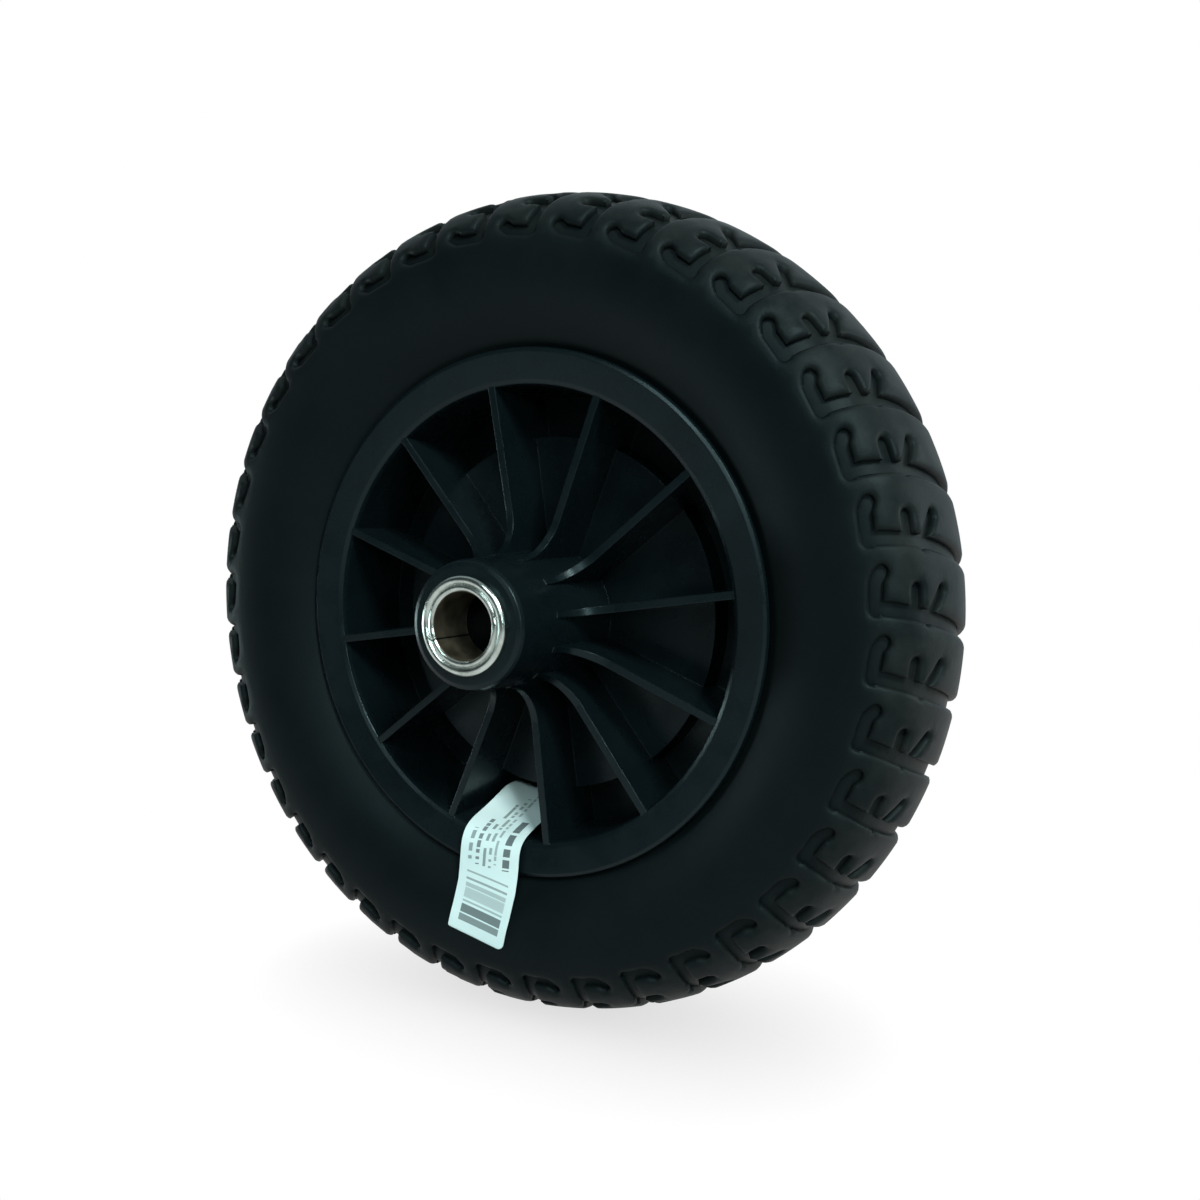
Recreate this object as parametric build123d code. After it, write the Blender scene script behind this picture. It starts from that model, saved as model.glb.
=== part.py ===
"""Solid wheelbarrow wheel: foam tyre, ribbed plastic rim, two steel bushes and a paper label.

Millimetres. Origin at the wheel's centre, +Y along the axle, +Z up; the labelled face looks to -Y.
"""
import os
from math import acos, ceil, radians, tan

from build123d import *

# Turned arcs are made in flats that stay within this distance of them, small beads in finer ones
flat_sag = 0.4
bead_flat_sag = 0.08

# Tyre section
tyre_diameter = 350.0
tyre_width = 85.0
crown_half_width = 28.0
crown_drop = 6.0
shoulder_drop = 28.0
sidewall_end_above_flange = 1.5
sidewall_end_over_flange = 1.5
tyre_fit_gap = 0.1

# Tread; paths are (towards the crown, along the tread) on a plane laid against the tyre
tread_pitches = 40
groove_width = 4.8
groove_depth = 3.0
cross_groove_slant = 14.0
hook_share = 0.24
hook_path = [(-7.4, 7.0), (-7.4, 19.8), (-4.4, 25.0)]
slot_path = [(7.9, 8.1), (7.9, 19.2)]
branch_share = 0.09
branch_path = [(-5.0, 6.0), (5.4, 17.8)]
cutter_height = 8.0

# Rim
seat_diameter = 202.0
flange_height = 10.0
flange_back_half_width = 28.0
flange_thickness = 4.0
barrel_wall = 5.0
barrel_draft = 1.2
lip_set_back = 2.8
lip_fillet = 3.0
web_front = -1.0
web_thickness = 5.0
web_step_diameter = 155.2
web_step_wall = 4.6
web_step_draft = 0.8
web_ring_front = 11.0

# Hub and ribs
hub_half_length = 68.0
hub_end_diameter = 51.8
hub_draft = 3.1
hub_edge_fillet = 2.5
hub_core_clearance = 0.8
rib_count = 12
rib_phase = 7.5
rib_edge_thickness = 2.6
rib_root_thickness = 4.4
rib_inner_half_width = 26.4
rib_lip_set_back = 0.2
rib_hub_radius = 17.0

# Bushes
bore_diameter = 27.0
bush_wall = 2.0
bush_length = 20.0
bush_flange_width = 4.1
bush_flange_thickness = 3.0
bush_mouth_depth = 1.6
bush_groove_inset = 3.3
bush_groove_depth = 1.0
bush_seam_angle = 204.0
bush_seam_width = 0.7
bush_press_gap = 0.02
bush_end_gap = 0.5

# Paper label: a strip beside the wheel's lowest line
label_middle = -12.9
label_width = 28.8
label_thickness = 0.3
label_stand_off = 0.6
label_bulge = 1.6
label_end_below_widest = 8.5
label_free_share = 0.58182
label_step_gap = 3.6
label_web_gap = 1.0
label_end_slant = 12.0
label_fold_radius = 2.5
label_corner_radius = 3.0

tyre_radius = tyre_diameter / 2
seat_radius = seat_diameter / 2
flange_radius = seat_radius + flange_height
flange_front_half_width = flange_back_half_width + flange_thickness
flange_edge_radius = flange_thickness / 2
lip_radius = seat_radius - barrel_wall
lip_half_width = flange_front_half_width - lip_set_back
hub_end_radius = hub_end_diameter / 2
hub_root_radius = hub_end_radius + hub_draft
bore_radius = bore_diameter / 2
sleeve_radius = bore_radius + bush_wall
inside_hub = hub_end_radius - hub_edge_fillet
inside_barrel = (lip_radius + seat_radius) / 2


def around(solid, angle):
    """The solid turned about the axle, from +X towards +Z."""
    return Rot(0, -angle, 0) * solid


def in_flats(curve, sag=flat_sag):
    """The curve with its straight edges kept and its arcs in flats."""
    points = [curve @ 0]
    for edge in curve.edges():
        flats = 1
        if edge.geom_type == GeomType.CIRCLE:
            flats = ceil(edge.length / edge.radius / (2 * acos(1 - sag / edge.radius)))
        points += [edge @ ((k + 1) / flats) for k in range(flats)]
    return Polyline(*points)


def spun(*curves, sag=flat_sag):
    """Solid of revolution about the axle from a closed outline of (radius, axle position)."""
    return revolve(make_face(Curve() + [in_flats(curve, sag) for curve in curves]), Axis.Y)


def spun_both_halves(*half):
    """Solid of revolution from the outline of one half and its mirror image."""
    flats = Curve() + [in_flats(curve) for curve in half]
    return revolve(make_face(flats + mirror(flats, Plane.XZ)), Axis.Y)


# Tyre section
crown_edge = (tyre_radius - crown_drop, crown_half_width)
widest = (tyre_radius - shoulder_drop, tyre_width / 2)
sidewall_end = (
    flange_radius + sidewall_end_above_flange,
    flange_back_half_width + sidewall_end_over_flange,
)
bead_half_width = flange_back_half_width - tyre_fit_gap
bead_radius = seat_radius + tyre_fit_gap
crown = ThreePointArc(crown_edge, (tyre_radius, 0), (crown_edge[0], -crown_edge[1]))
half_crown = crown.trim(0, 0.5)
shoulder = TangentArc(widest, crown_edge, tangent=(1, 0))
sidewall = TangentArc(widest, sidewall_end, tangent=(-1, 0))
bead = Polyline(
    sidewall_end,
    (flange_radius, bead_half_width),
    (bead_radius, bead_half_width),
    (bead_radius, 0),
)


def under_tread(curve, share, depth):
    """Point at a depth below a tread curve, as (radius, axle position)."""
    run = curve % share
    return curve @ share - Vector(-run.Y, run.X) * depth


def against_tread(curve, share):
    """Plane touching the near half at the top of the wheel: x to the crown, z outwards."""
    point = curve @ share
    run = curve % share
    return Plane((0, -point.Y, point.X), x_dir=(0, -run.Y, run.X), z_dir=(0, -run.X, -run.Y))


def blind_groove(plane, path):
    """Cutter with square ends and a flat floor parallel to the plane."""
    outline = trace(Polyline(*path), groove_width)
    return extrude(plane.offset(-groove_depth) * outline, groove_depth + cutter_height)


def cross_groove():
    """Slanted cutter over the crown, its floor in flats that follow the section."""
    stations = ((crown, 0.25), (crown, 0), (shoulder, (1 + hook_share) / 2), (shoulder, hook_share))
    floor = [under_tread(curve, share, groove_depth) for curve, share in stations]
    mouth = under_tread(shoulder, hook_share, -cutter_height)
    near = [*floor, mouth, Vector(tyre_radius + cutter_height, mouth.Y)]
    far = [Vector(point.X, -point.Y) for point in near]
    outline = Polyline(*near, *reversed(far), close=True)
    across = Vector(0, -1, 0).rotate(Axis.Z, -cross_groove_slant)
    blade = Plane((0, 0, 0), x_dir=(0, 0, 1), z_dir=Vector(0, 0, 1).cross(across))
    return extrude(blade * make_face(outline), groove_width / 2, both=True)


def tread_pitch():
    """Grooves of one pitch at the top of the wheel; the far half is the near half turned round."""
    hook = blind_groove(against_tread(shoulder, 0.5), hook_path)
    slot = blind_groove(against_tread(shoulder, 0.5), slot_path)
    branch = blind_groove(against_tread(crown, branch_share), branch_path)
    near_half = [hook, slot, branch]
    far_half = [Rot(0, 0, 180) * groove for groove in near_half]
    return cross_groove() + near_half + far_half


def make_tyre():
    pitch = tread_pitch()
    step = 360 / tread_pitches
    grooves = [around(pitch, step * k) for k in range(tread_pitches)]
    return spun_both_halves(half_crown, shoulder, sidewall, bead) - grooves


def make_barrel():
    """Seat for the tyre between two round-edged flanges; the inside drafts to the middle."""
    edge_centre = flange_radius - flange_edge_radius
    inside = FilletPolyline(
        (lip_radius - barrel_draft, 0),
        (lip_radius, lip_half_width),
        (edge_centre, flange_front_half_width),
        radius=lip_fillet,
    )
    centre = (edge_centre, flange_front_half_width - flange_edge_radius)
    front_edge = CenterArc(centre, flange_edge_radius, 90, -90)
    back_edge = CenterArc(centre, flange_edge_radius, 0, -90)
    back = Polyline(back_edge @ 1, (seat_radius, flange_back_half_width), (seat_radius, 0))
    return spun_both_halves(inside, front_edge, back_edge, back)


def make_web():
    """Disc at the middle that steps back to a ring against the barrel."""
    step_front = web_step_diameter / 2
    step_back = step_front - web_step_wall
    web_back = web_front + web_thickness
    ring_back = web_ring_front + web_thickness
    outline = Polyline(
        (inside_hub, web_front),
        (step_front, web_front),
        (step_front + web_step_draft, web_ring_front),
        (inside_barrel, web_ring_front),
        (inside_barrel, ring_back),
        (step_back, ring_back),
        (step_back - web_step_draft, web_back),
        (inside_hub, web_back),
        close=True,
    )
    return spun(outline)


def make_hub():
    """Drafted boss with a cored hole and a seat for a bush at each end."""
    core = bore_radius + hub_core_clearance
    seat = sleeve_radius + bush_press_gap
    seat_end = hub_half_length - bush_length - bush_end_gap
    inside = Polyline((core, 0), (core, seat_end), (seat, seat_end), (seat, hub_half_length))
    outside = FilletPolyline(
        (seat, hub_half_length),
        (hub_end_radius, hub_half_length),
        (hub_root_radius, 0),
        radius=hub_edge_fillet,
    )
    return spun_both_halves(inside, outside)


def make_ribs():
    """Drafted radial ribs that sweep up the hub in a round."""
    at_hub = (hub_end_radius + hub_root_radius) / 2
    top = rib_inner_half_width + rib_hub_radius
    rise = CenterArc((at_hub + rib_hub_radius, top), rib_hub_radius, 180, 90)
    up_hub = Polyline((inside_hub, 0), (inside_hub, top), (at_hub, top))
    at_lip = lip_half_width - rib_lip_set_back
    to_lip = Polyline(rise @ 1, (inside_barrel, at_lip), (inside_barrel, 0))
    half = Curve() + [up_hub, rise, to_lip]
    plate = extrude(make_face(half + mirror(half, Plane.XZ)), rib_root_thickness, both=True)
    root, edge = rib_root_thickness / 2, rib_edge_thickness / 2
    half_section = Polyline((root, 0), (edge, top), (-edge, top), (-root, 0))
    section = half_section + mirror(half_section, Plane.XZ)
    radial = Plane((inside_hub, 0, 0), x_dir=(0, 0, 1), z_dir=(1, 0, 0))
    rib = plate & extrude(radial * make_face(section), inside_barrel - inside_hub)
    return [around(rib, rib_phase + 360 / rib_count * k) for k in range(rib_count)]


def make_rear_bush():
    """Rolled sleeve with a round mouth and a beaded flange, a groove between them; split by its seam."""
    top = hub_half_length + bush_flange_thickness
    back = hub_half_length + bush_press_gap
    inner = hub_half_length - bush_length
    flange = sleeve_radius + bush_flange_width
    groove = flange - bush_groove_inset
    mouth_end = (bore_radius, top - bush_mouth_depth)
    groove_floor = (groove, top - bush_groove_depth)
    flange_edge = (flange, top - bush_groove_depth)
    mouth = ThreePointArc(mouth_end, ((bore_radius + groove) / 2, top), groove_floor)
    bead = ThreePointArc(groove_floor, ((groove + flange) / 2, top), flange_edge)
    sleeve = Polyline(
        flange_edge,
        (flange, back),
        (sleeve_radius, back),
        (sleeve_radius, inner),
        (bore_radius, inner),
        mouth_end,
    )
    seam_box = Box(bush_wall * 2, bush_length * 3, bush_seam_width)
    seam = Pos(groove - bush_wall, hub_half_length, 0) * seam_box
    return spun(mouth, bead, sleeve, sag=bead_flat_sag) - around(seam, bush_seam_angle)


def make_label():
    """Upright strip of a sheet that follows the sidewall, the flange and the lip into a pocket."""
    reach = sidewall.radius + label_stand_off
    middle = sidewall.arc_center

    def beside_tyre(radius):
        return (radius, -middle.Y - (reach**2 - (radius - middle.X) ** 2) ** 0.5)

    end_radius = widest[0] - label_end_below_widest
    leaving_radius = flange_radius + label_free_share * (end_radius - flange_radius)
    top_radius = web_step_diameter / 2 + web_step_draft + label_step_gap
    slant = label_width / 2 * tan(radians(label_end_slant))
    stuck = ThreePointArc(
        beside_tyre(end_radius + slant),
        beside_tyre((end_radius + leaving_radius) / 2),
        beside_tyre(leaving_radius),
    )
    free = FilletPolyline(
        beside_tyre(leaving_radius),
        (flange_radius - flange_edge_radius, -flange_front_half_width - label_bulge),
        (lip_radius, -lip_half_width - label_bulge),
        (top_radius, web_ring_front - label_web_gap),
        radius=label_fold_radius,
    )
    sheet = revolve(trace(Curve() + [in_flats(stuck), in_flats(free)], label_thickness), Axis.Y)
    left = label_middle - label_width / 2
    right = label_middle + label_width / 2
    outline = FilletPolyline(
        (left, slant - end_radius),
        (right, -slant - end_radius),
        (right, -slant - top_radius),
        (left, slant - top_radius),
        radius=label_corner_radius,
        close=True,
    )
    return sheet & extrude(Plane.XZ * make_face(outline), tyre_width, both=True)


rear_bush = make_rear_bush()
parts = {
    "tyre": make_tyre(),
    "rim": make_barrel() + make_web() + make_hub() + make_ribs(),
    "front_bush": mirror(rear_bush, Plane.XZ),
    "rear_bush": rear_bush,
    "paper_label": make_label(),
}
os.makedirs("parts", exist_ok=True)
for name, solid in parts.items():
    export_step(solid, f"parts/{name}.step")
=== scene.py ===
"""Looks of the solid wheelbarrow wheel: finishes, fine tread, print on the label, stage and camera."""
import math

import bmesh
import bpy
from mathutils import Matrix, Vector
from mathutils.geometry import delaunay_2d_cdt
from mathutils.kdtree import KDTree


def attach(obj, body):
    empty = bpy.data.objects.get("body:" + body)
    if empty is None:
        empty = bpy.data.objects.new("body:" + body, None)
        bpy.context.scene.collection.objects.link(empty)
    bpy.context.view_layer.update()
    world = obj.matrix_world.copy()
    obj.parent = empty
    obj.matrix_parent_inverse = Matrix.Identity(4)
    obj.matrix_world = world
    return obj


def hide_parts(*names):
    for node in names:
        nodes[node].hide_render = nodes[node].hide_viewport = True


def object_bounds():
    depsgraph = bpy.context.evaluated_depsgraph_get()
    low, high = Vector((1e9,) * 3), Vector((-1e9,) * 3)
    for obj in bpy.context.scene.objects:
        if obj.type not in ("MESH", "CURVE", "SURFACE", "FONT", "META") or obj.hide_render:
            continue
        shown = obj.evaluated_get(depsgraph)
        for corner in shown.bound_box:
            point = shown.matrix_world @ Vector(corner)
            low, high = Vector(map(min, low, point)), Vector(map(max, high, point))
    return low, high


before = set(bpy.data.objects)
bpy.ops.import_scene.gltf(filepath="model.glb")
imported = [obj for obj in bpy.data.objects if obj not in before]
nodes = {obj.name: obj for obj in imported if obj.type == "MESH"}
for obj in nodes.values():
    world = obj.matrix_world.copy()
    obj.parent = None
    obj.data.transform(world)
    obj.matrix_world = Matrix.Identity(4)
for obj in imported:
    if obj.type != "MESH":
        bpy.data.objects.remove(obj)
cad_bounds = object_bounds()
scene = bpy.context.scene


# Tyre: the CAD solid's section and grooves in millimetres, with smooth curves and soft edges.
# s is the arc length from the crown, negative on the labelled side.
CROWN_R, CROWN_CENTRE = 68.333, 106.667
CROWN_EDGE_R, CROWN_EDGE_Y = 169.0, 28.0
SHOULDER_R, SHOULDER_CENTRE_Y, WIDEST_R = 23.940, 18.560, 147.0
SIDEWALL_R, SIDEWALL_CENTRE_Y = 52.279, -9.779
SIDEWALL_END_R, SIDEWALL_END_Y = 112.5, 29.5
BEAD_R, BEAD_Y, BEAD_MOUTH_R = 101.1, 27.9, 111.0
SHOULDER_START = math.atan2(CROWN_EDGE_Y - SHOULDER_CENTRE_Y, CROWN_EDGE_R - WIDEST_R)
SIDEWALL_TURN = math.atan2(WIDEST_R - SIDEWALL_END_R, SIDEWALL_END_Y - SIDEWALL_CENTRE_Y)
S_CROWN = CROWN_R * math.asin(CROWN_EDGE_Y / CROWN_R)
S_WIDEST = S_CROWN + SHOULDER_R * (math.pi / 2 - SHOULDER_START)
S_SIDEWALL = S_WIDEST + SIDEWALL_R * SIDEWALL_TURN
PITCHES = 40
PITCH = 2 * math.pi / PITCHES
GROOVE_HALF, GROOVE_DEPTH = 2.4, 3.0
GROOVE_END_S = 50.06
SLANT = math.tan(math.radians(14.0))
UNROLL_R = 168.0
EDGE_WIDTH, EDGE_DROP = 2.2, 1.0
CELL_EDGE_OFFSET, CELL_EDGE_TURN = 4.3, 7.0
# Blind grooves of one pitch on laid planes: from and to, as (towards the crown, along the tread)
CROWN_LAY_SHARE = 0.82
SHOULDER_RUNS = (
    ((-7.4, 9.6), (-7.4, 19.8)),
    ((-7.4, 19.8), (-5.6, 22.9)),
    ((7.9, 8.1), (7.9, 16.8)),
)
CROWN_RUN = ((-5.0, 6.0), (3.8, 16.0))
LAY_SEARCH, LAY_HALVINGS = (-16.0, 10.0), 40
# How finely the mesh is made; the weld is in metres
STEPS = 44
ROUND_STEPS = 7
OUTLINE_STEP, DISTANCE_STEP = 2.0, 0.4
EDGE_ROWS, EDGE_ROOM = (0.9, 2.0), 0.55
LAND_ROWS, LAND_COLUMNS, LAND_ROOM = 30, 8, 1.5
POINT_SPACING, CELL_MARGIN, MERGE = 0.8, 0.7, 1e-5
SIDE_ROWS, SIDE_COLUMNS = 14, 6
WELD = 2e-6


def section(s):
    """(radius, half width, normal's radial part, normal's axial part) at arc length s."""
    s = abs(s)
    if s <= S_CROWN:
        a = s / CROWN_R
        return CROWN_CENTRE + CROWN_R * math.cos(a), CROWN_R * math.sin(a), math.cos(a), math.sin(a)
    if s <= S_WIDEST:
        a = SHOULDER_START + (s - S_CROWN) / SHOULDER_R
        radius, centre_y = SHOULDER_R, SHOULDER_CENTRE_Y
    else:
        a = math.pi / 2 + (s - S_WIDEST) / SIDEWALL_R
        radius, centre_y = SIDEWALL_R, SIDEWALL_CENTRE_Y
    return WIDEST_R + radius * math.cos(a), centre_y + radius * math.sin(a), math.cos(a), math.sin(a)


def turned(r, y, angle):
    """Point in metres from a radius, an axle position and an angle."""
    return (r * math.cos(angle) / 1e3, y / 1e3, r * math.sin(angle) / 1e3)


def on_tyre(s, angle, depth=0.0):
    """Point in metres at a depth below the surface."""
    r, y, out_r, out_y = section(s)
    return turned(r - out_r * depth, math.copysign(y - out_y * depth, s), angle)


def arc_length(r, y):
    """Arc length of the section's point nearest (r, y), and how far outside it (r, y) is."""
    a = math.atan2(y - SHOULDER_CENTRE_Y, r - WIDEST_R)
    if a < SHOULDER_START:
        return math.atan2(y, r - CROWN_CENTRE) * CROWN_R, math.hypot(y, r - CROWN_CENTRE) - CROWN_R
    outside = math.hypot(y - SHOULDER_CENTRE_Y, r - WIDEST_R) - SHOULDER_R
    return S_CROWN + (a - SHOULDER_START) * SHOULDER_R, outside


class Lay:
    """A plane laid against the labelled side at the top of the wheel: x to the crown, y along the tread."""

    def __init__(self, s):
        r, y, out_r, out_y = section(s)
        self.origin = Vector((0.0, -y, r))
        self.to_crown = Vector((0.0, out_r, out_y))
        self.along = Vector((-1.0, 0.0, 0.0))
        self.out = Vector((0.0, -out_y, out_r))

    def project(self, x, y):
        """(s, angle) where the plane's normal at (x, y) meets the tyre."""
        low, high = LAY_SEARCH
        for _ in range(LAY_HALVINGS):
            step = (low + high) / 2
            p = self.origin + self.to_crown * x + self.along * y + self.out * step
            s, outside = arc_length(math.hypot(p.x, p.z), -p.y)
            low, high = (low, step) if outside > 0 else (step, high)
        return -s, math.atan2(p.z, p.x)


def stadium(start, end, half):
    """Outline of a straight groove with round ends."""
    direction = math.atan2(end[1] - start[1], end[0] - start[0])
    outline = []
    for centre, first in ((end, direction - math.pi / 2), (start, direction + math.pi / 2)):
        turns = [first + math.pi * k / ROUND_STEPS for k in range(ROUND_STEPS + 1)]
        outline += [(centre[0] + half * math.cos(a), centre[1] + half * math.sin(a)) for a in turns]
    return outline


def divided(outline, longest):
    """The closed outline with its long edges divided."""
    points = []
    for a, b in zip(outline, outline[1:] + outline[:1]):
        parts = max(1, math.ceil(math.dist(a, b) / longest))
        points += [tuple(Vector(a).lerp(Vector(b), k / parts)) for k in range(parts)]
    return points


def beside_cross_groove(s, offset):
    """Angle at arc length s of a line beside the slanted groove's middle."""
    r, y, _, _ = section(s)
    x = math.copysign(y, s) * SLANT + offset * math.hypot(1.0, SLANT)
    return math.acos(x / r)


def groove_outlines():
    """(s, angle) outlines of one pitch; the far half is the near half turned about the wheel's top."""
    steps = [GROOVE_END_S * (2 * k / STEPS - 1) for k in range(STEPS + 1)]
    cross = [(s, beside_cross_groove(s, GROOVE_HALF)) for s in steps]
    cross += [(s, beside_cross_groove(s, -GROOVE_HALF)) for s in reversed(steps)]
    shoulder = Lay((S_CROWN + S_WIDEST) / 2)
    crown = Lay(CROWN_LAY_SHARE * S_CROWN)
    runs = [(shoulder, *run) for run in SHOULDER_RUNS] + [(crown, *CROWN_RUN)]
    outlines = [cross]
    for lay, start, end in runs:
        outline = divided(stadium(start, end, GROOVE_HALF), OUTLINE_STEP)
        near = [lay.project(x, y) for x, y in outline]
        outlines += [near, [(-s, math.pi - angle) for s, angle in near]]
    return outlines


def cell_edge(s):
    """Angle of the line between two pitches, which crosses the groove at the crown."""
    return beside_cross_groove(s, CELL_EDGE_OFFSET * min(1.0, max(-1.0, -s / CELL_EDGE_TURN)))


def unrolled(outline, pitch):
    return [Vector((s, (angle + PITCH * pitch) * UNROLL_R)) for s, angle in outline]


def cell_outline():
    steps = [S_WIDEST * (2 * k / STEPS - 1) for k in range(STEPS + 1)]
    shares = [k / SIDE_COLUMNS for k in range(1, SIDE_COLUMNS)]
    lower = [(s, cell_edge(s)) for s in steps]
    far_end = [(S_WIDEST, cell_edge(S_WIDEST) + PITCH * share) for share in shares]
    upper = [(s, angle + PITCH) for s, angle in reversed(lower)]
    near_end = [(-S_WIDEST, cell_edge(-S_WIDEST) + PITCH * share) for share in reversed(shares)]
    return lower + far_end + upper + near_end


def in_cell(p, margin):
    """Whether an unrolled point lies in the first pitch, clear of its outline."""
    low = cell_edge(p.x) * UNROLL_R
    return abs(p.x) < S_WIDEST - margin and margin < p.y - low < PITCH * UNROLL_R - margin


def nearest_to(points):
    """Look-up of the distance to the nearest of many points."""
    tree = KDTree(len(points))
    for k, p in enumerate(points):
        tree.insert((p[0], p[1], 0.0), k)
    tree.balance()
    return lambda p: tree.find((p[0], p[1], 0.0))[2]


def beside(outline, distance):
    """Points outside a closed outline."""
    area = sum(a.x * b.y - b.x * a.y for a, b in zip(outline, outline[1:] + outline[:1]))
    points = []
    for before, here, after in zip(outline[-1:] + outline[:-1], outline, outline[1:] + outline[:1]):
        run = (after - before).normalized() * math.copysign(distance, area)
        points.append(here + Vector((run.y, -run.x)))
    return points


def tread_cell():
    """One pitch: its points, how deep the land is at each, and its triangles with which are floor."""
    grooves = [unrolled(outline, k) for k in (-1, 0, 1) for outline in groove_outlines()]
    loops = [unrolled(cell_outline(), 0)] + grooves
    points = [p for loop in loops for p in loop]
    faces, start = [], 0
    for loop in loops:
        faces.append(range(start, start + len(loop)))
        start += len(loop)
    to_groove = nearest_to([p for groove in grooves for p in divided(groove, DISTANCE_STEP)])
    rows_beside = [p for distance in EDGE_ROWS for groove in grooves for p in beside(groove, distance)]
    extra = [(p, EDGE_ROOM) for p in rows_beside]
    for row in range(1, LAND_ROWS):
        s = S_WIDEST * (2 * row / LAND_ROWS - 1)
        for k in range(1, LAND_COLUMNS):
            angle = cell_edge(s) + PITCH * (k + (row % 2) / 2 - 0.25) / LAND_COLUMNS
            extra.append((Vector((s, angle * UNROLL_R)), LAND_ROOM))
    taken = set()
    for p, room in extra:
        place = (round(p.x / POINT_SPACING), round(p.y / POINT_SPACING))
        if in_cell(p, CELL_MARGIN) and to_groove(p) > room and place not in taken:
            taken.add(place)
            points.append(p)
    places, _, cut_faces, _, _, origins = delaunay_2d_cdt(points, [], faces, 0, MERGE)
    drops = []
    for p in places:
        share = max(0.0, 1.0 - to_groove(p) / EDGE_WIDTH)
        drops.append(EDGE_DROP * share * share)
    in_pitch = [(face, origin) for face, origin in zip(cut_faces, origins) if 0 in origin]
    triangles = [(face, any(k > 0 for k in origin)) for face, origin in in_pitch]
    return [(p.x, p.y / UNROLL_R) for p in places], drops, triangles


class Mould:
    """Vertices and faces of the tyre, with each vertex made once."""

    def __init__(self):
        self.places, self.faces, self.index = [], [], {}

    def vertex(self, key, place):
        if key not in self.index:
            self.index[key] = len(self.places)
            self.places.append(place)
        return self.index[key]

    def add_pitch(self, turn, corners, drops, triangles, walls):
        def at(corner, is_floor):
            s, angle = corners[corner]
            depth = GROOVE_DEPTH if is_floor else drops[corner]
            return self.vertex(("tread", turn, corner, is_floor), on_tyre(s, angle + PITCH * turn, depth))

        for face, is_floor in triangles:
            self.faces.append([at(corner, is_floor) for corner in reversed(face)])
        for a, b in walls:
            self.faces.append([at(a, False), at(b, False), at(b, True), at(a, True)])

    def add_side(self, side):
        """Sidewall and bead of one half, down to the middle of the seat."""
        columns = PITCHES * SIDE_COLUMNS
        first = cell_edge(side * S_WIDEST)
        drop = S_SIDEWALL - S_WIDEST
        rows = [section(S_WIDEST + drop * k / SIDE_ROWS)[:2] for k in range(SIDE_ROWS + 1)]
        rows += [(BEAD_MOUTH_R, BEAD_Y), (BEAD_R, BEAD_Y), (BEAD_R, 0.0)]
        rings = []
        for k, (r, y) in enumerate(rows):
            start = first if y else math.pi / 2
            angles = [start + 2 * math.pi * column / columns for column in range(columns)]
            rings.append([self.vertex((side, k, a), turned(r, side * y, a)) for a in angles])
        for one, two in zip(rings, rings[1:]):
            for k in range(columns):
                self.faces.append([one[k], one[k - 1], two[k - 1], two[k]])


def make_tyre():
    corners, drops, triangles = tread_cell()
    sides = {}
    for face, is_floor in triangles:
        for a, b in zip(face, face[1:] + face[:1]):
            sides.setdefault(frozenset((a, b)), []).append((is_floor, a, b))
    pairs = [sorted(pair) for pair in sides.values() if len(pair) == 2]
    walls = [land[1:] for land, floor in pairs if land[0] != floor[0]]
    mould = Mould()
    for turn in range(PITCHES):
        mould.add_pitch(turn, corners, drops, triangles, walls)
    for side in (-1, 1):
        mould.add_side(side)
    mesh = bpy.data.meshes.new("tyre_moulded")
    mesh.from_pydata(mould.places, [], mould.faces)
    edit = bmesh.new()
    edit.from_mesh(mesh)
    bmesh.ops.remove_doubles(edit, verts=edit.verts, dist=WELD)
    bmesh.ops.recalc_face_normals(edit, faces=edit.faces)
    edit.to_mesh(mesh)
    edit.free()
    tyre = bpy.data.objects.new("tyre_moulded", mesh)
    scene.collection.objects.link(tyre)
    return tyre


# Label: the CAD strip in millimetres, with soft folds and a slight twist.
LABEL_MIDDLE, LABEL_HALF_WIDTH, LABEL_THICKNESS = -12.9, 14.5, 0.3
LABEL_SKEW = math.tan(math.radians(12.0))
LABEL_STAND_OFF, LABEL_END_R, LABEL_TOP_R = 0.6, 138.5, 82.0
LABEL_STUCK_RADII = (146.0, 141.5, 137.0, 132.5, 128.0)
LABEL_FREE_PATH = (
    (119.0, -37.3),
    (110.0, -35.0),
    (100.0, -33.7),
    (94.6, -28.5),
    (90.8, -14.0),
    (86.4, -1.0),
    (80.0, 18.0),
)
LABEL_LEAN, LABEL_LEAN_FROM_R = -0.125, 118.0
LABEL_TWIST, LABEL_TWIST_R, LABEL_TWIST_REACH = 0.7, 107.0, 10.0
LABEL_END_CORNERS, LABEL_TOP_CORNERS = (0.8, 3.0), (3.0, 3.0)
LABEL_COLUMNS, LABEL_STEPS, LABEL_ROUNDS = 28, 90, 4


def label_path():
    """(radius, axle position) from the stuck end, up the sidewall, over the lip and into the pocket."""
    reach = SIDEWALL_R + LABEL_STAND_OFF
    path = []
    for r in LABEL_STUCK_RADII:
        path.append(Vector((r, -SIDEWALL_CENTRE_Y - math.sqrt(reach**2 - (r - WIDEST_R) ** 2))))
    path += [Vector(point) for point in LABEL_FREE_PATH]
    for _ in range(LABEL_ROUNDS):
        cut = [path[0]]
        for a, b in zip(path, path[1:]):
            cut += [a.lerp(b, 0.25), a.lerp(b, 0.75)]
        path = cut + path[-1:]
    return path


def along_path(path, share):
    """Point of the path at a count of its steps, whole or part."""
    k = min(int(share), len(path) - 2)
    return path[k].lerp(path[k + 1], share - k)


def steps_to_radius(path, r):
    """Count of the path's steps, whole or part, to where it comes down to a radius."""
    k = next(k for k, point in enumerate(path) if point.x < r) - 1
    return k + (path[k].x - r) / (path[k].x - path[k + 1].x)


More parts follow.
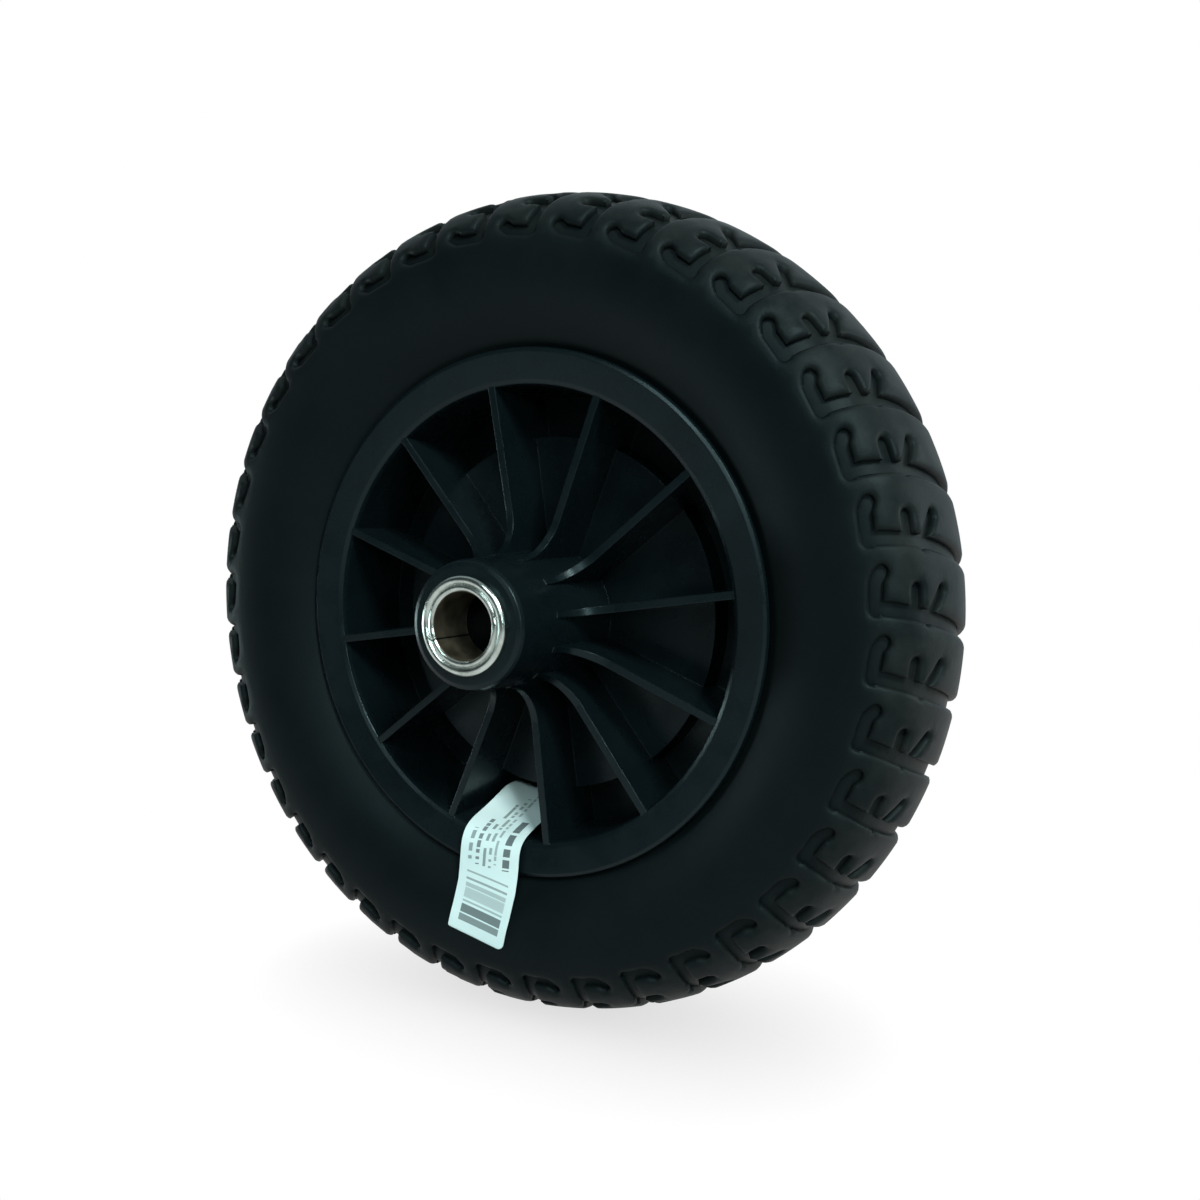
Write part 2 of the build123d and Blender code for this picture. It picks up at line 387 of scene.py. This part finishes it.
def round_corner(corners, offset):
    """How far a corner's round pulls in the end of the strip at an offset from its middle."""
    radius = corners[0] if offset < 0 else corners[1]
    inside = min(radius, max(0.0, radius - LABEL_HALF_WIDTH + abs(offset)))
    return radius - math.sqrt(radius**2 - inside**2)


def label_column(path, offset):
    """Points of the strip from its stuck end to its free end at an offset from its middle."""
    x = LABEL_MIDDLE + offset
    slant = offset * LABEL_SKEW
    end_z = LABEL_END_R + slant - round_corner(LABEL_END_CORNERS, offset)
    top_z = LABEL_TOP_R + slant + round_corner(LABEL_TOP_CORNERS, offset)
    start = steps_to_radius(path, math.hypot(x, end_z))
    stop = steps_to_radius(path, math.hypot(x, top_z))
    points = []
    for k in range(LABEL_STEPS + 1):
        r, y = along_path(path, start + (stop - start) * k / LABEL_STEPS)
        leaning = x + LABEL_LEAN * max(0.0, r - LABEL_LEAN_FROM_R)
        near_fold = math.exp(-(((r - LABEL_TWIST_R) / LABEL_TWIST_REACH) ** 2))
        y += LABEL_TWIST * offset / LABEL_HALF_WIDTH * near_fold
        points.append((leaning / 1e3, y / 1e3, -math.sqrt(r**2 - leaning**2) / 1e3))
    return points


def make_label():
    path = label_path()
    turns = [math.pi / 2 * (2 * k / LABEL_COLUMNS - 1) for k in range(LABEL_COLUMNS + 1)]
    columns = [label_column(path, LABEL_HALF_WIDTH * math.sin(turn)) for turn in turns]
    rows = LABEL_STEPS + 1
    faces = []
    for column in range(LABEL_COLUMNS):
        for row in range(LABEL_STEPS):
            first = column * rows + row
            faces.append((first, first + rows, first + rows + 1, first + 1))
    mesh = bpy.data.meshes.new("label_sheet")
    mesh.from_pydata([point for column in columns for point in column], [], faces)
    label = bpy.data.objects.new("label_sheet", mesh)
    scene.collection.objects.link(label)
    paper = label.modifiers.new("paper", "SOLIDIFY")
    paper.thickness = LABEL_THICKNESS / 1e3
    paper.offset = 0.0
    return label


# Node helpers
class Graph:
    """The node tree of a material or a world, with short calls for the nodes that are used here."""

    def __init__(self, owner, output="ShaderNodeOutputMaterial"):
        owner.use_nodes = True
        self.owner = owner
        self.tree = owner.node_tree
        self.tree.nodes.clear()
        self.out = self.node(output)

    def node(self, kind, **values):
        made = self.tree.nodes.new(kind)
        for key, value in values.items():
            setattr(made, key, value)
        return made

    def put(self, value, socket):
        """Links an output to a socket, or sets the socket to a number or a colour."""
        if isinstance(value, bpy.types.NodeSocket):
            self.tree.links.new(value, socket)
        else:
            socket.default_value = (*value, 1.0) if isinstance(value, tuple) else value

    def coords(self, kind="Object"):
        return self.node("ShaderNodeTexCoord").outputs[kind]

    def xyz(self, vector):
        made = self.node("ShaderNodeSeparateXYZ")
        self.put(vector, made.inputs[0])
        return made.outputs

    def combine(self, *values):
        made = self.node("ShaderNodeCombineXYZ")
        for socket, value in zip(made.inputs, values):
            self.put(value, socket)
        return made.outputs[0]

    def noise(self, vector, scale, detail=3.0, rough=0.5):
        made = self.node("ShaderNodeTexNoise")
        made.inputs["Scale"].default_value = scale
        made.inputs["Detail"].default_value = detail
        made.inputs["Roughness"].default_value = rough
        self.put(vector, made.inputs["Vector"])
        return made.outputs["Fac"]

    def voronoi(self, vector, scale):
        made = self.node("ShaderNodeTexVoronoi")
        made.inputs["Scale"].default_value = scale
        self.put(vector, made.inputs["Vector"])
        return made.outputs["Distance"]

    def remap(self, value, low, high, to_low, to_high):
        made = self.node("ShaderNodeMapRange")
        for socket, number in zip(made.inputs[1:5], (low, high, to_low, to_high)):
            socket.default_value = number
        self.put(value, made.inputs[0])
        return made.outputs[0]

    def ramp(self, value, *stops, interpolation="LINEAR"):
        made = self.node("ShaderNodeValToRGB")
        band = made.color_ramp
        band.interpolation = interpolation
        while len(band.elements) < len(stops):
            band.elements.new(0.5)
        for element, (place, colour) in zip(band.elements, stops):
            element.position = place
            element.color = (*colour, 1.0)
        self.put(value, made.inputs["Fac"])
        return made.outputs["Color"]

    def math(self, operation, *values):
        made = self.node("ShaderNodeMath", operation=operation)
        for socket, value in zip(made.inputs, values):
            self.put(value, socket)
        return made.outputs[0]

    def mix(self, factor, a, b):
        made = self.node("ShaderNodeMix", data_type="RGBA")
        sockets = (made.inputs[0], made.inputs[6], made.inputs[7])
        for socket, value in zip(sockets, (factor, a, b)):
            self.put(value, socket)
        return made.outputs[2]

    def choose(self, factor, a, b):
        """Shader a, or b where the factor is 1."""
        made = self.node("ShaderNodeMixShader")
        for socket, value in zip(made.inputs, (factor, a, b)):
            self.put(value, socket)
        return made.outputs[0]

    def between(self, value, low, high):
        """1 where the value lies between two numbers, else 0."""
        above = self.math("GREATER_THAN", value, low)
        return self.math("MULTIPLY", above, self.math("LESS_THAN", value, high))

    def axle_distance(self, x, z):
        squares = [self.math("POWER", value, 2.0) for value in (x, z)]
        return self.math("SQRT", self.math("ADD", *squares))

    def bump(self, height, distance, strength=1.0, normal=None):
        made = self.node("ShaderNodeBump")
        made.inputs["Strength"].default_value = strength
        made.inputs["Distance"].default_value = distance
        self.put(height, made.inputs["Height"])
        if normal is not None:
            self.put(normal, made.inputs["Normal"])
        return made.outputs["Normal"]

    def rounded(self, radius):
        made = self.node("ShaderNodeBevel", samples=4)
        made.inputs["Radius"].default_value = radius
        return made.outputs["Normal"]

    def surface(self, colour, roughness, normal, metallic=0.0, specular=0.5, tint=(1.0, 1.0, 1.0)):
        made = self.node("ShaderNodeBsdfPrincipled")
        made.inputs["Metallic"].default_value = metallic
        made.inputs["Specular IOR Level"].default_value = specular
        made.inputs["Specular Tint"].default_value = (*tint, 1.0)
        self.put(colour, made.inputs["Base Color"])
        self.put(roughness, made.inputs["Roughness"])
        self.put(normal, made.inputs["Normal"])
        return self.finished(made.outputs["BSDF"])

    def finished(self, shader):
        self.put(shader, self.out.inputs["Surface"])
        return self.owner


# Finishes: radii in metres, and colours
BORE_BROWN_RADIUS = 0.01375
BLACK_SHEEN = (0.70, 0.95, 1.0)
TREAD_DUST_RADII = (0.150, 0.162)
TREAD_DUST = (0.0095, 0.0115, 0.0105)
# The label's fold at the lip, in metres, and how much of the depth past it counts along the strip
PRINT_FOLD_Y, PRINT_FLAP_SHARE = 0.0305, 0.72
# Print in millimetres, across from x = 0 and along from the axle
# Bars across: from, to, darkness; rows of dashes along: middle, half height, from, to, darkness
PRINT_BAR_ENDS = (-23.4, -2.2)
PRINT_BARS = (
    (112.4, 113.2, 0.55),
    (115.4, 116.4, 0.60),
    (117.6, 119.4, 0.42),
    (119.8, 124.0, 0.36),
    (125.0, 125.8, 0.50),
    (126.8, 130.2, 0.84),
    (130.8, 133.6, 0.74),
)
PRINT_ROWS = (
    (-22.6, 0.9, 92.0, 106.5, 0.66),
    (-18.9, 0.9, 84.0, 107.5, 0.80),
    (-15.4, 0.7, 70.0, 108.0, 0.70),
    (-12.6, 0.7, 64.0, 108.5, 0.62),
    (-10.0, 0.6, 60.0, 107.0, 0.55),
    (-4.6, 1.7, 82.0, 109.0, 0.90),
)
DASH_SCALE, DASH_GAP = 0.42, 0.43
PRINT_INK = (0.05, 0.075, 0.08)


def tyre_foam():
    g = Graph(bpy.data.materials.new("tyre_foam"))
    at = g.coords()
    cloud = g.noise(at, 22.0, 4.0, 0.6)
    grain = g.noise(at, 1400.0, 2.0)
    cells = g.voronoi(at, 650.0)
    x, _, z = g.xyz(at)
    on_tread = g.remap(g.axle_distance(x, z), *TREAD_DUST_RADII, 0.0, 1.0)
    patches = g.remap(g.noise(at, 75.0, 4.0, 0.65), 0.38, 0.72, 0.15, 1.0)
    dust = g.math("MULTIPLY", on_tread, patches)
    black = g.ramp(cloud, (0.3, (0.0013, 0.0028, 0.0031)), (0.7, (0.0024, 0.0042, 0.0045)))
    colour = g.mix(dust, black, TREAD_DUST)
    rough = g.remap(cloud, 0.3, 0.7, 0.46, 0.58)
    normal = g.bump(grain, 0.00012, 0.45)
    normal = g.bump(cells, 0.00008, 0.3, normal)
    return g.surface(colour, rough, normal, specular=0.09, tint=BLACK_SHEEN)


def rim_plastic():
    g = Graph(bpy.data.materials.new("rim_plastic"))
    at = g.coords()
    cloud = g.noise(at, 35.0, 4.0, 0.6)
    grain = g.noise(at, 2200.0, 2.0)
    flow = g.noise(at, 90.0, 3.0)
    colour = g.ramp(cloud, (0.3, (0.0019, 0.0044, 0.0053)), (0.7, (0.0032, 0.0064, 0.0075)))
    rough = g.remap(flow, 0.3, 0.7, 0.23, 0.33)
    normal = g.bump(grain, 0.00008, 0.35, g.rounded(0.0007))
    normal = g.bump(flow, 0.00025, 0.10, normal)
    return g.surface(colour, rough, normal, specular=0.19, tint=BLACK_SHEEN)


def bush_steel():
    """Bright plate outside, darker and duller brown in the bore."""
    g = Graph(bpy.data.materials.new("bush_steel"))
    at = g.coords()
    x, y, z = g.xyz(at)
    radius = g.axle_distance(x, z)
    lines = g.noise(g.combine(radius, y), 4200.0, 2.0)
    spots = g.noise(at, 160.0, 4.0, 0.6)
    plate = g.ramp(spots, (0.3, (0.34, 0.39, 0.36)), (0.65, (0.50, 0.57, 0.53)))
    # Darker, duller brown inside the bore's radius
    bore_brown = g.ramp(spots, (0.3, (0.11, 0.10, 0.07)), (0.65, (0.20, 0.18, 0.13)))
    in_bore = g.math("LESS_THAN", radius, BORE_BROWN_RADIUS)
    rough = g.math("ADD", g.remap(spots, 0.3, 0.7, 0.17, 0.27), g.math("MULTIPLY", in_bore, 0.3))
    normal = g.bump(lines, 0.00004, 0.3, g.rounded(0.0008))
    return g.surface(g.mix(in_bore, plate, bore_brown), rough, normal, metallic=1.0)


def printed(g, across, along):
    """Darkness of the print: plain bars across the stuck end and rows of dashes along the strip."""
    slant = g.math("MULTIPLY", g.math("SUBTRACT", across, LABEL_MIDDLE), LABEL_SKEW)
    square = g.math("SUBTRACT", along, slant)
    marks = []
    for low, high, darkness in PRINT_BARS:
        bar = g.math("MULTIPLY", g.between(square, low, high), g.between(across, *PRINT_BAR_ENDS))
        marks.append(g.math("MULTIPLY", bar, darkness))
    for middle, half, low, high, darkness in PRINT_ROWS:
        row = g.math("MULTIPLY", g.between(across, middle - half, middle + half), g.between(along, low, high))
        dashes = g.math("GREATER_THAN", g.noise(g.combine(middle, along), DASH_SCALE, 0.0), DASH_GAP)
        marks.append(g.math("MULTIPLY", g.math("MULTIPLY", row, dashes), darkness))
    ink = marks[0]
    for mark in marks[1:]:
        ink = g.math("MAXIMUM", ink, mark)
    return ink


def label_paper():
    g = Graph(bpy.data.materials.new("label_paper"))
    at = g.coords()
    x, y, z = g.xyz(at)
    in_pocket = g.math("MAXIMUM", g.math("ADD", y, PRINT_FOLD_Y), 0.0)
    along = g.math("MULTIPLY", g.math("ADD", z, g.math("MULTIPLY", in_pocket, PRINT_FLAP_SHARE)), -1e3)
    past_lean = g.math("MAXIMUM", g.math("SUBTRACT", along, LABEL_LEAN_FROM_R), 0.0)
    across = g.math("SUBTRACT", g.math("MULTIPLY", x, 1e3), g.math("MULTIPLY", past_lean, LABEL_LEAN))
    fibre = g.noise(at, 900.0, 3.0)
    cloud = g.noise(at, 40.0, 3.0)
    paper = g.ramp(cloud, (0.3, (0.53, 0.69, 0.68)), (0.7, (0.60, 0.75, 0.74)))
    rough = g.remap(fibre, 0.3, 0.7, 0.5, 0.62)
    colour = g.mix(printed(g, across, along), paper, PRINT_INK)
    return g.surface(colour, rough, g.bump(fibre, 0.00006, 0.4), specular=0.35)


def dress(thing, material, smooth_deg):
    """Gives an object its finish and smooth shading up to an angle."""
    mesh = thing.data
    mesh.materials.clear()
    mesh.materials.append(material)
    mesh.shade_smooth()
    mesh.set_sharp_from_angle(angle=math.radians(smooth_deg))


TYRE_SMOOTH, RIM_SMOOTH, BUSH_SMOOTH, LABEL_SMOOTH = 58, 40, 50, 40
steel = bush_steel()
tyre = make_tyre()
dress(tyre, tyre_foam(), TYRE_SMOOTH)
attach(tyre, "root")
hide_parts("tyre")
dress(nodes["rim"], rim_plastic(), RIM_SMOOTH)
dress(nodes["front_bush"], steel, BUSH_SMOOTH)
dress(nodes["rear_bush"], steel, BUSH_SMOOTH)
label = make_label()
dress(label, label_paper(), LABEL_SMOOTH)
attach(label, "root")
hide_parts("paper_label")


# Stage: lengths in metres, power in watts
FLOOR_SIZE, FLOOR_BOUNCE = 2.4, 0.35
# Painted shadow on the floor: its darkest strength, how far the occlusion reaches, and its samples
FLOOR_SHADE, FLOOR_SHADE_REACH, FLOOR_SHADE_SAMPLES = 0.70, 0.06, 8
WHITE = (1.0, 1.0, 1.0)
SOFT_COLOUR, SOFT_STRENGTHS = (0.82, 0.95, 1.0), (0.06, 1.00)
SOFT_RISE_SHARE, SOFT_RANGE = 0.6, (0.0, 0.9)
# Lamps: name, place, target, size, power, colour
LAMPS = (
    ("key", (0.87, -0.67, 0.87), (0.0, 0.0, 0.0), 0.35, 18.0, (0.94, 1.0, 0.99)),
    ("front", (0.50, -1.45, 0.75), (0.0, 0.0, 0.0), 0.6, 4.5, (0.84, 0.98, 1.0)),
    ("top", (0.10, -1.12, 0.93), (0.0, 0.0, -0.08), 0.3, 5.0, (0.84, 0.98, 1.0)),
    ("side", (1.00, -0.92, 0.20), (0.0, 0.0, 0.0), 0.2, 4.0, (0.84, 1.0, 1.0)),
    ("left", (-1.3, -0.36, -0.15), (-0.1, 0.0, -0.05), 0.4, 7.0, (0.80, 1.0, 1.0)),
    ("right", (1.3, 0.55, 0.35), (0.1, 0.0, 0.0), 0.7, 6.0, (0.92, 1.0, 1.0)),
)
# Camera, set so that the wheel stands in the picture as it does in the photograph
CAMERA_TURN, CAMERA_LIFT = math.radians(28.3), math.radians(7.59)
CAMERA_PLACE, CAMERA_NEAREST = (0.2466, -0.4176, 0.0353), 0.01
LENS_MM, SENSOR_MM, LENS_SHIFT = 32.73, 36.0, (0.0025, 0.0667)


def floor_white():
    """White where it is seen, with a painted shadow drawn from ambient occlusion close under the wheel; a
    plain grey to the light that bounces off it.
    """
    g = Graph(bpy.data.materials.new("floor_white"))
    # Painted shadow: occlusion darkens the floor's white glow close under the wheel
    shade = g.node("ShaderNodeAmbientOcclusion", samples=FLOOR_SHADE_SAMPLES)
    shade.inputs["Distance"].default_value = FLOOR_SHADE_REACH
    seen = g.node("ShaderNodeEmission")
    g.put(g.remap(shade.outputs["AO"], 0.0, 1.0, FLOOR_SHADE, 1.0), seen.inputs["Strength"])
    plain = g.node("ShaderNodeBsdfDiffuse")
    g.put((FLOOR_BOUNCE,) * 3, plain.inputs["Color"])
    ray = g.node("ShaderNodeLightPath").outputs
    mirrored = g.math("MAXIMUM", ray["Is Glossy Ray"], ray["Is Transmission Ray"])
    looking = g.math("MAXIMUM", ray["Is Camera Ray"], mirrored)
    return g.finished(g.choose(looking, plain.outputs[0], seen.outputs[0]))


def studio_world():
    """White to the camera; a soft light that is brighter behind and above the wheel than in front of it."""
    g = Graph(bpy.data.worlds.new("studio"), "ShaderNodeOutputWorld")
    _, y, z = g.xyz(g.coords("Generated"))
    behind = g.math("ADD", y, g.math("MULTIPLY", z, SOFT_RISE_SHARE))
    soft = g.node("ShaderNodeBackground")
    g.put(SOFT_COLOUR, soft.inputs["Color"])
    g.put(g.remap(behind, *SOFT_RANGE, *SOFT_STRENGTHS), soft.inputs["Strength"])
    white = g.node("ShaderNodeBackground")
    g.put(WHITE, white.inputs["Color"])
    ray = g.node("ShaderNodeLightPath")
    return g.finished(g.choose(ray.outputs["Is Camera Ray"], soft.outputs[0], white.outputs[0]))


def area_light(name, place, target, size, power, colour):
    light = bpy.data.lights.new(name, "AREA")
    light.size = size
    light.energy = power
    light.color = colour
    held = bpy.data.objects.new(name, light)
    scene.collection.objects.link(held)
    held.location = place
    held.rotation_euler = (Vector(target) - Vector(place)).to_track_quat("-Z", "Y").to_euler()


def make_camera():
    level = math.cos(CAMERA_LIFT)
    right = Vector((math.cos(CAMERA_TURN), math.sin(CAMERA_TURN), 0.0))
    back = Vector((math.sin(CAMERA_TURN) * level, -math.cos(CAMERA_TURN) * level, math.sin(CAMERA_LIFT)))
    lens = bpy.data.cameras.new("camera")
    lens.sensor_width = SENSOR_MM
    lens.lens = LENS_MM
    lens.shift_x, lens.shift_y = LENS_SHIFT
    lens.clip_start = CAMERA_NEAREST
    camera = bpy.data.objects.new("camera", lens)
    scene.collection.objects.link(camera)
    axes = Matrix((right, back.cross(right), back)).transposed().to_4x4()
    camera.matrix_world = Matrix.Translation(CAMERA_PLACE) @ axes
    return camera


bpy.ops.mesh.primitive_plane_add(size=FLOOR_SIZE, location=(0.0, 0.0, cad_bounds[0][2]))
floor = bpy.context.object
floor.name = "floor"
floor.data.materials.append(floor_white())
scene.world = studio_world()
for lamp in LAMPS:
    area_light(*lamp)
scene.camera = make_camera()
scene.view_settings.view_transform = "Standard"
